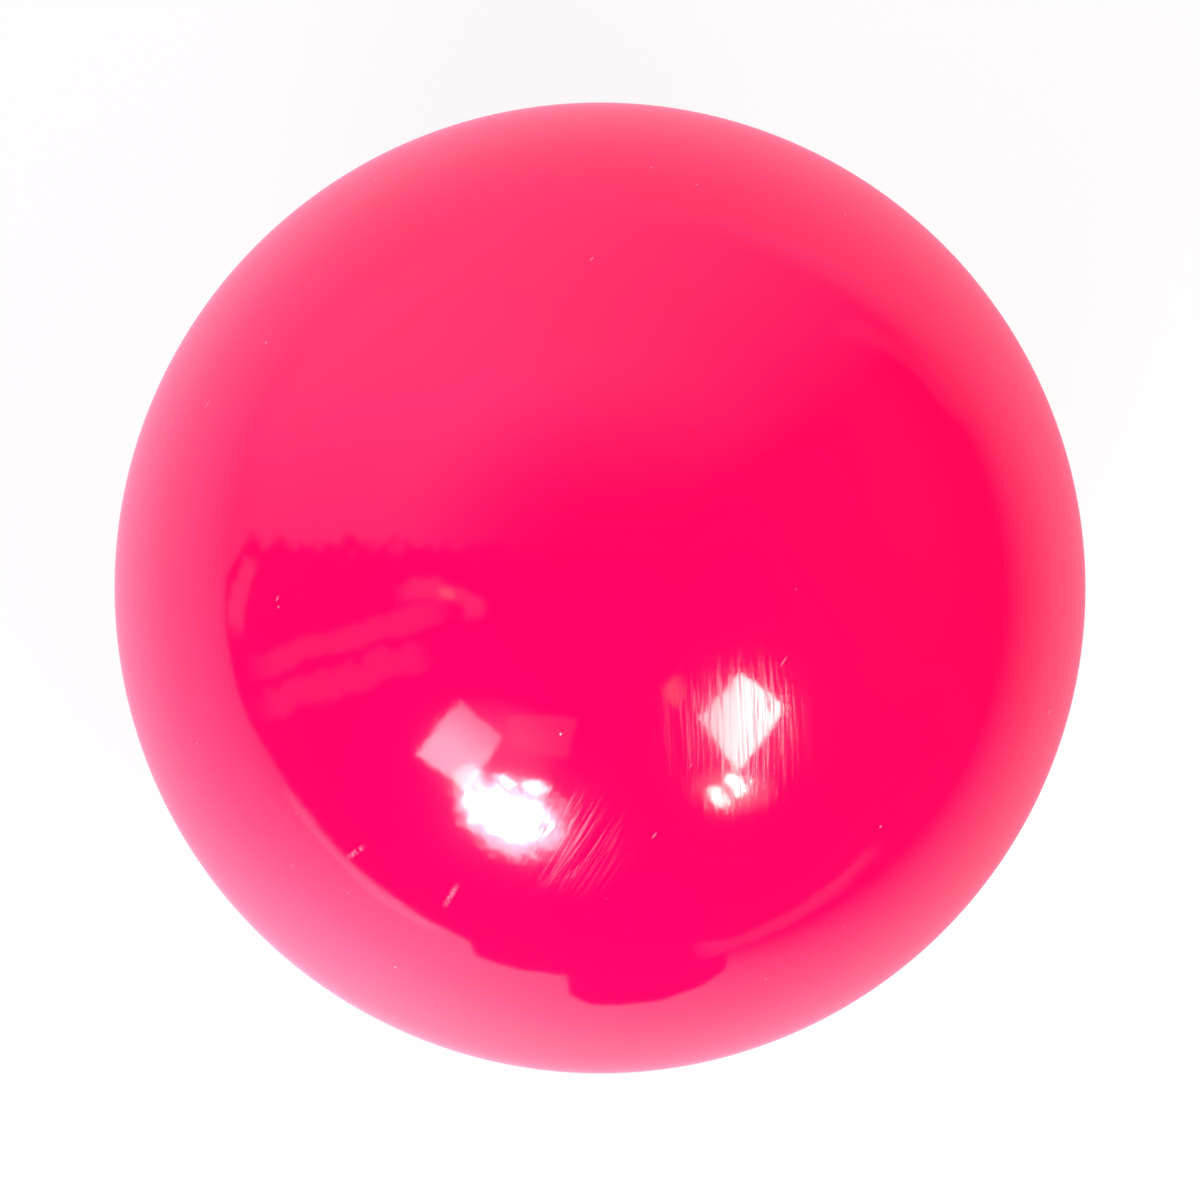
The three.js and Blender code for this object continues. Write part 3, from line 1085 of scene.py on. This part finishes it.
finish_piece(cover_half("cover_upper", True), cover_plastic, "cover_upper_half")
finish_piece(cover_half("cover_lower", False), cover_plastic, "cover_lower_half")
finish_piece(weld_bead(), weld_plastic, "seam_weld")
outer = winding("outer_twine", CORK_RADIUS + CLEARANCE, OUTER_WINDING_RADIUS)
finish_piece(outer, twine, "outer_winding")
finish_piece(cork_cup("cork_right", True), cup_cork, "cork_cup_right")
finish_piece(cork_cup("cork_left", False), cup_cork, "cork_cup_left")
inner = winding("inner_twine", CENTRE_RADIUS + CLEARANCE, INNER_WINDING_RADIUS)
finish_piece(inner, twine, "inner_winding")
finish_piece(cork_core(), core_cork, "cork_centre")

set_world()
add_floor()
add_surroundings(view)

for name, outline, radiance, colour, glow_shape, lit_share in (
    ("left_lamp", LEFT_LAMP_PX, 36, WHITE_LIGHT, ragged_glow, 0.5),
    ("left_spot", LEFT_SPOT_PX, 30, WHITE_LIGHT, None, 1.0),
    ("top_spot", TOP_SPOT_PX, 26, WHITE_LIGHT, None, 1.0),
    ("left_halo", LEFT_HALO_PX, 5, WHITE_LIGHT, oval_glow, 1.0),
    ("left_panel", LEFT_PANEL_PX, 8, WHITE_LIGHT, sloping_glow, 1.0),
    ("right_panel", RIGHT_PANEL_PX, 24, WARM_LIGHT, slanted_glow, 1.0),
    ("high_spot", HIGH_SPOT_PX, 38, WARM_LIGHT, broken_glow, 1.0),
    ("low_spot", LOW_SPOT_PX, 30, WARM_LIGHT, broken_glow, 1.0),
):
    add_lamp(name, view, outline, radiance, colour, glow_shape, lit_share)

# Cards with no light of their own, seen only in the ball's reflections: painted haze, halos, fringe and
# sheen round the mirrored lamps, and dim painted panels
for name, outline, radiance, colour, glow_shape in (
    ("left_fringe", LEFT_FRINGE_PX, 8, WHITE_LIGHT, ragged_glow),
    ("left_sheen", LEFT_SHEEN_PX, 8, WARM_LIGHT, ragged_glow),
    ("left_haze", LEFT_HAZE_PX, 0.6, WHITE_LIGHT, oval_glow),
    ("right_halo", RIGHT_HALO_PX, 1.9, WARM_LIGHT, oval_glow),
    ("right_haze", RIGHT_HAZE_PX, 0.4, WHITE_LIGHT, oval_glow),
    ("faint_panel", FAINT_PANEL_PX, 0.38, WARM_LIGHT, None),
    ("amber_panel", AMBER_PANEL_PX, 1.4, AMBER_LIGHT, None),
    ("amber_spot", AMBER_SPOT_PX, 1.2, AMBER_LIGHT, oval_glow),
):
    add_card(name, view, outline, radiance, colour, glow_shape)

# Painted reflections: faint strips that glow only in the ball's mirror image
for name, middle_line, half_width, radiance, colour in (
    ("high_band", HIGH_BAND_PX, 15, 0.24, WHITE_LIGHT),
    ("low_band", LOW_BAND_PX, 19, 0.22, WHITE_LIGHT),
    ("hooked_band", HOOKED_BAND_PX, 12, 0.4, WARM_LIGHT),
    ("side_band", SIDE_BAND_PX, 9, 0.4, WHITE_LIGHT),
    ("front_band", FRONT_BAND_PX, 8, 0.22, WHITE_LIGHT),
    ("left_rim", LEFT_RIM_PX, 5, 0.62, WHITE_LIGHT),
    ("right_band", RIGHT_BAND_PX, 12, 0.1, WHITE_LIGHT),
):
    add_band(name, view, middle_line, half_width, radiance, colour)

bpy.context.scene.view_settings.view_transform = "Standard"
